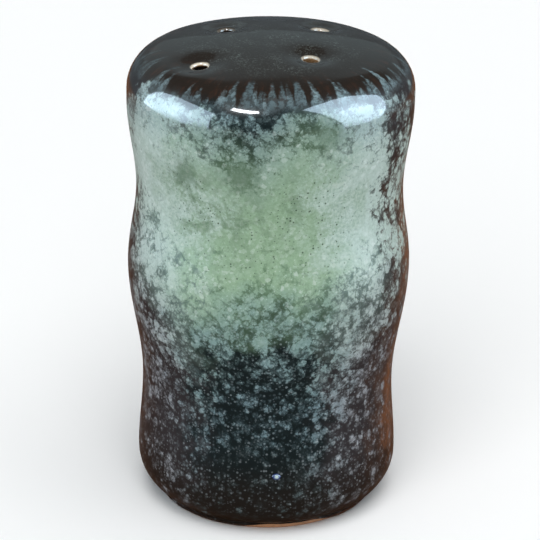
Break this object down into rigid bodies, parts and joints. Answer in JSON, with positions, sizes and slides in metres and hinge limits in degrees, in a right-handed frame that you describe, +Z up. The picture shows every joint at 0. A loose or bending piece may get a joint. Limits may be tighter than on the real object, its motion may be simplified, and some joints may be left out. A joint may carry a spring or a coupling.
{
  "type": "table shaker",
  "caption": "Glazed stoneware spice shaker with a waisted wall, a domed crown with pierced pour holes, and a soft stopper in the filling hole under its base.",
  "frame": {"origin": "centre of the foot ring's bearing face, on the table", "axes": "+Z up through the crown, +X to the right and +Y away from a viewer in front"},
  "size_m": [0.05, 0.05, 0.0848],
  "materials": {
    "clay": "bare fired stoneware, matt, fine sandy tooth",
    "glaze": "glossy reactive glaze, brown-black with celadon and blue-grey crystals",
    "stopper_silicone": "satin translucent silicone"
  },
  "bodies": {
    "body": {"clay_body": "clay", "clay_collar": "clay", "glaze_coat": "glaze"},
    "stopper": {"stopper": "stopper_silicone"}
  },
  "joints": [
    {"name": "stopper_pull", "type": "slide", "parent": "body", "child": "stopper", "axis": [0, 0, -1], "range_m": [0, 0.015]}
  ]
}
